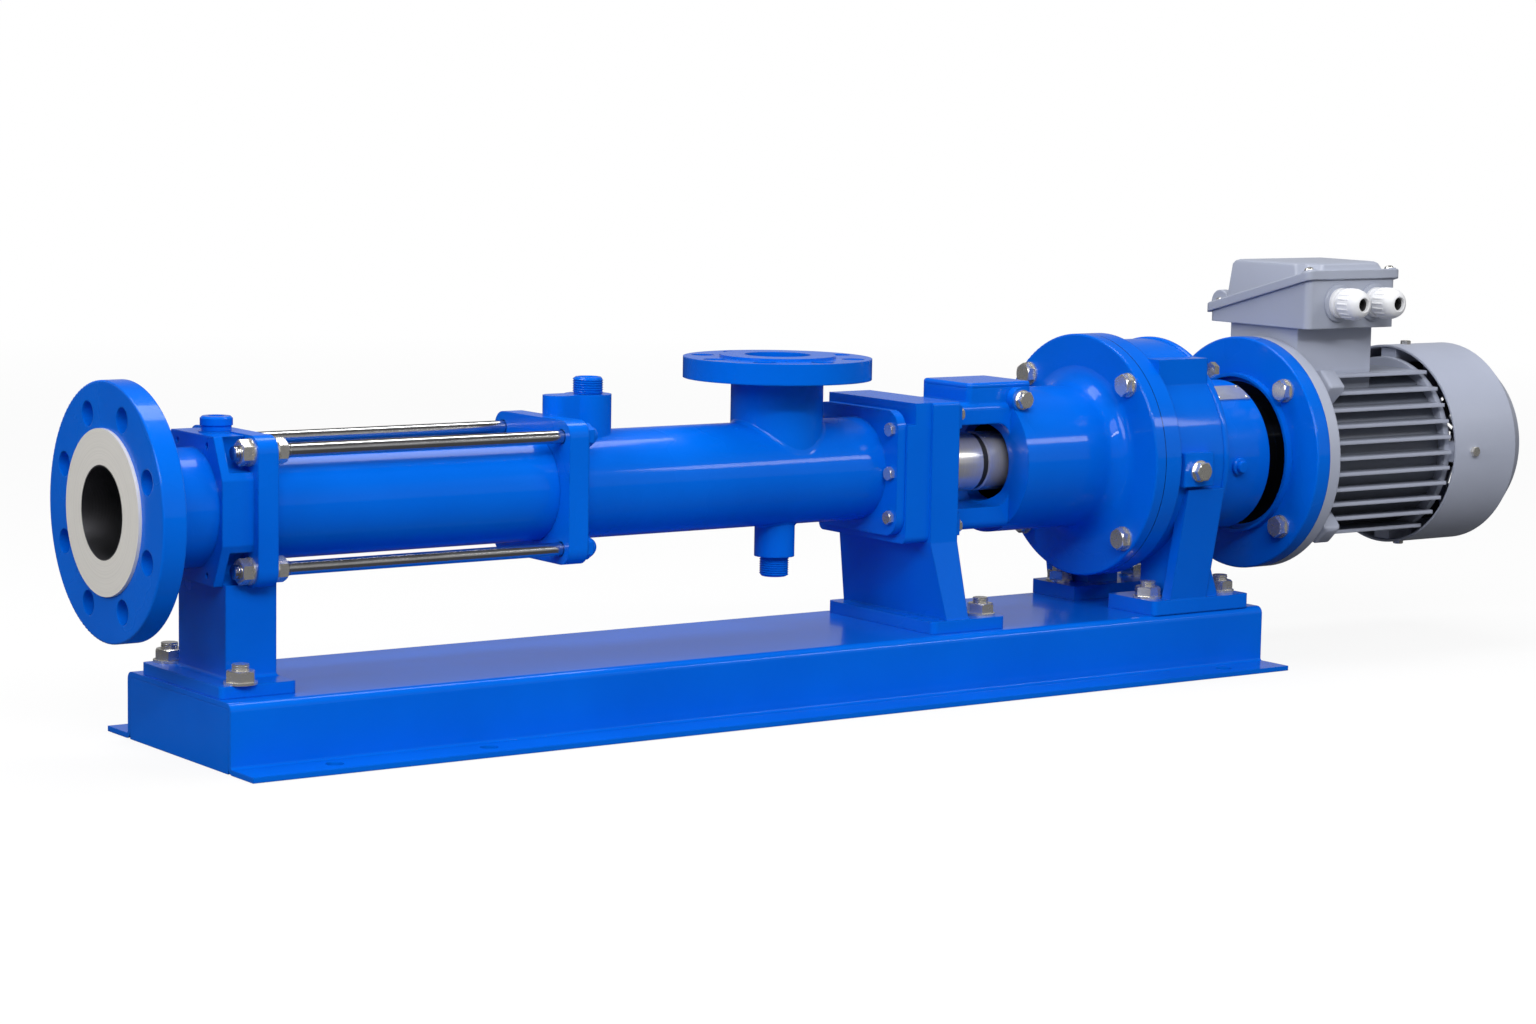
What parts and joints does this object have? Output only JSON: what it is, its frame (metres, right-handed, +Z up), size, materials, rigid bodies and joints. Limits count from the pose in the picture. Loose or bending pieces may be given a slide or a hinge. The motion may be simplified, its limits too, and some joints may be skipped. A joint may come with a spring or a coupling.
{
  "type": "progressive cavity pump with gear motor",
  "caption": "Progressive cavity pump on a bent steel baseplate, flanged at the front and on top, driven through a gearbox by a finned electric motor.",
  "frame": {"origin": "centre of the rectangle of corner foot holes, on the floor", "axes": "+X along the pump axis from the discharge flange to the motor, +Z up through the suction flange, the cable glands face -Y"},
  "size_m": [1.35, 0.232, 0.338],
  "materials": {
    "blue_paint": "gloss",
    "grey_paint": "satin",
    "machined_steel": "turned",
    "polished_steel": "polished",
    "zinc_fasteners": "bright zinc",
    "rubber": "matt",
    "seal_ceramic": "lapped",
    "cast_iron": "bare",
    "copper_windings": "lacquered",
    "dark_plastic": "moulded",
    "gland_plastic": "moulded",
    "bare_plate": "satin"
  },
  "bodies": {
    "pump": {"baseplate": "blue_paint", "base_end_plate_pump": "blue_paint", "base_end_plate_drive": "blue_paint", "discharge_casing": "blue_paint", "discharge_liner": "machined_steel", "discharge_vent_plug": "blue_paint", "tie_rods": "polished_steel", "tie_rod_nuts": "zinc_fasteners", "tie_rod_cap_nuts": "blue_paint", "stator_tube": "blue_paint", "stator_rubber": "rubber", "suction_casing": "blue_paint", "casing_pipe_plug": "blue_paint", "drain_pipe_plug": "blue_paint", "seal_bracket": "blue_paint", "seal_seat": "seal_ceramic", "output_bearings": "machined_steel", "gear_oil_seal": "rubber", "lantern": "blue_paint", "lantern_cover": "blue_paint", "gear_bearing_plate": "cast_iron", "gear_housing": "blue_paint", "gear_cover": "blue_paint", "nameplate": "bare_plate", "layshaft_bearings": "machined_steel", "motor_adaptor": "blue_paint", "motor_flange": "grey_paint", "motor_frame": "grey_paint", "motor_stator_core": "cast_iron", "motor_windings": "copper_windings", "motor_end_shield": "grey_paint", "motor_bearings": "machined_steel", "fan_cover": "grey_paint", "terminal_box": "grey_paint", "terminal_lid": "grey_paint", "cable_glands": "gland_plastic", "foot_bolts": "zinc_fasteners", "casing_flange_screws": "zinc_fasteners", "lantern_screws": "zinc_fasteners", "lantern_flange_bolts": "zinc_fasteners", "gear_cover_bolts": "zinc_fasteners", "motor_flange_bolts": "zinc_fasteners", "fan_cover_screws": "zinc_fasteners", "lantern_cover_bolt": "zinc_fasteners", "gear_fill_plug": "zinc_fasteners"},
    "drive_shaft": {"plug_shaft": "polished_steel", "shaft_groove_ring": "machined_steel", "output_shaft": "polished_steel", "output_wheel": "machined_steel", "seal_ring": "polished_steel", "shaft_joint_sleeve": "rubber"},
    "layshaft_unit": {"layshaft": "machined_steel", "layshaft_wheel": "machined_steel"},
    "motor_rotor_unit": {"motor_shaft": "machined_steel", "motor_rotor": "cast_iron", "fan": "dark_plastic"},
    "coupling_rod_unit": {"coupling_rod": "machined_steel"},
    "rotor_unit": {"rotor": "polished_steel", "rotor_joint_sleeve": "rubber"}
  },
  "joints": [
    {"name": "motor_spin", "type": "hinge", "parent": "pump", "child": "motor_rotor_unit", "pos_m": [0.599, 0, 0.17175], "axis": [1, 0, 0], "continuous": true},
    {"name": "layshaft_spin", "type": "hinge", "parent": "pump", "child": "layshaft_unit", "pos_m": [0.379, 0, 0.218], "axis": [1, 0, 0], "continuous": true},
    {"name": "shaft_spin", "type": "hinge", "parent": "pump", "child": "drive_shaft", "pos_m": [0.219, 0, 0.178], "axis": [1, 0, 0], "continuous": true},
    {"name": "rod_orbit", "type": "hinge", "parent": "pump", "child": "coupling_rod_unit", "pos_m": [0.078, 0, 0.178], "axis": [1, 0, 0], "continuous": true},
    {"name": "rotor_spin", "type": "hinge", "parent": "coupling_rod_unit", "child": "rotor_unit", "pos_m": [-0.163, 0, 0.1725], "axis": [1, 0, 0], "continuous": true}
  ],
  "couplings": [
    {"joint": "layshaft_spin", "follows": "motor_spin", "ratio": -0.27586},
    {"joint": "shaft_spin", "follows": "motor_spin", "ratio": 0.091954},
    {"joint": "rod_orbit", "follows": "motor_spin", "ratio": -0.091954},
    {"joint": "rotor_spin", "follows": "motor_spin", "ratio": 0.18391}
  ]
}
